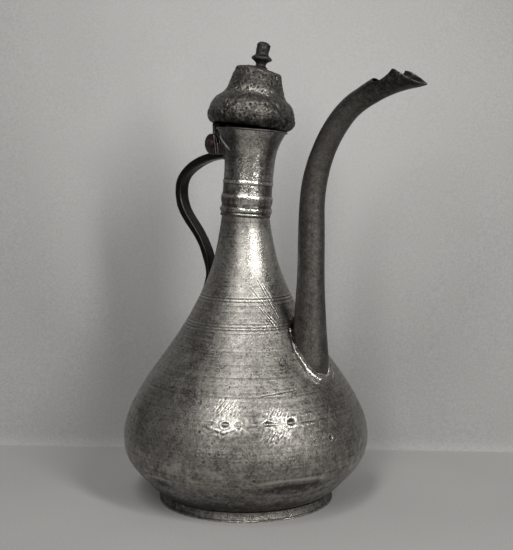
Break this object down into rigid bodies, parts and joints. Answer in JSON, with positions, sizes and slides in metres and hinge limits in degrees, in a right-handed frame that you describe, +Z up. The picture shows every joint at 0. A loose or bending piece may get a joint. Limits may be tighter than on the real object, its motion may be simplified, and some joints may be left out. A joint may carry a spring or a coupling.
{
  "type": "ewer",
  "caption": "Tinned copper ewer with a pear body, tall neck, curved tube spout, strap handle and a hinged domed lid with a knob, for pouring water.",
  "frame": {"origin": "on the body's axis, in the plane of the foot ring's standing face", "axes": "+X towards the spout, -X towards the handle and hinge, +Z up"},
  "size_m": [0.2394, 0.1856, 0.3416],
  "materials": {
    "tinned_copper": "worn tinning",
    "solder": "rough solder",
    "dark_spout": "dark patina",
    "dark_handle": "dark forged",
    "hinge_copper": "bare dull copper",
    "pitted_lid": "pitted patina"
  },
  "bodies": {
    "pot": {"foot_ring": "tinned_copper", "lower_bowl": "tinned_copper", "base_plate": "tinned_copper", "upper_body": "tinned_copper", "belly_seam": "solder", "neck_sleeve": "tinned_copper", "neck_solder": "solder", "mouth_rim": "tinned_copper", "spout_tube": "dark_spout", "spout_solder": "solder", "handle_strap": "dark_handle", "handle_braze": "solder", "handle_rivets": "dark_handle", "hinge_bracket": "hinge_copper", "hinge_pin": "hinge_copper"},
    "lid": {"lid_skirt": "pitted_lid", "lid_dome": "pitted_lid", "lid_finial": "pitted_lid", "finial_washer": "pitted_lid", "lid_tail": "hinge_copper", "lid_tail_rivets": "hinge_copper"}
  },
  "joints": [
    {"name": "lid_hinge", "type": "hinge", "parent": "pot", "child": "lid", "pos_m": [-0.0268, 0, 0.2672], "axis": [0, -1, 0], "range_deg": [0, 108]}
  ]
}
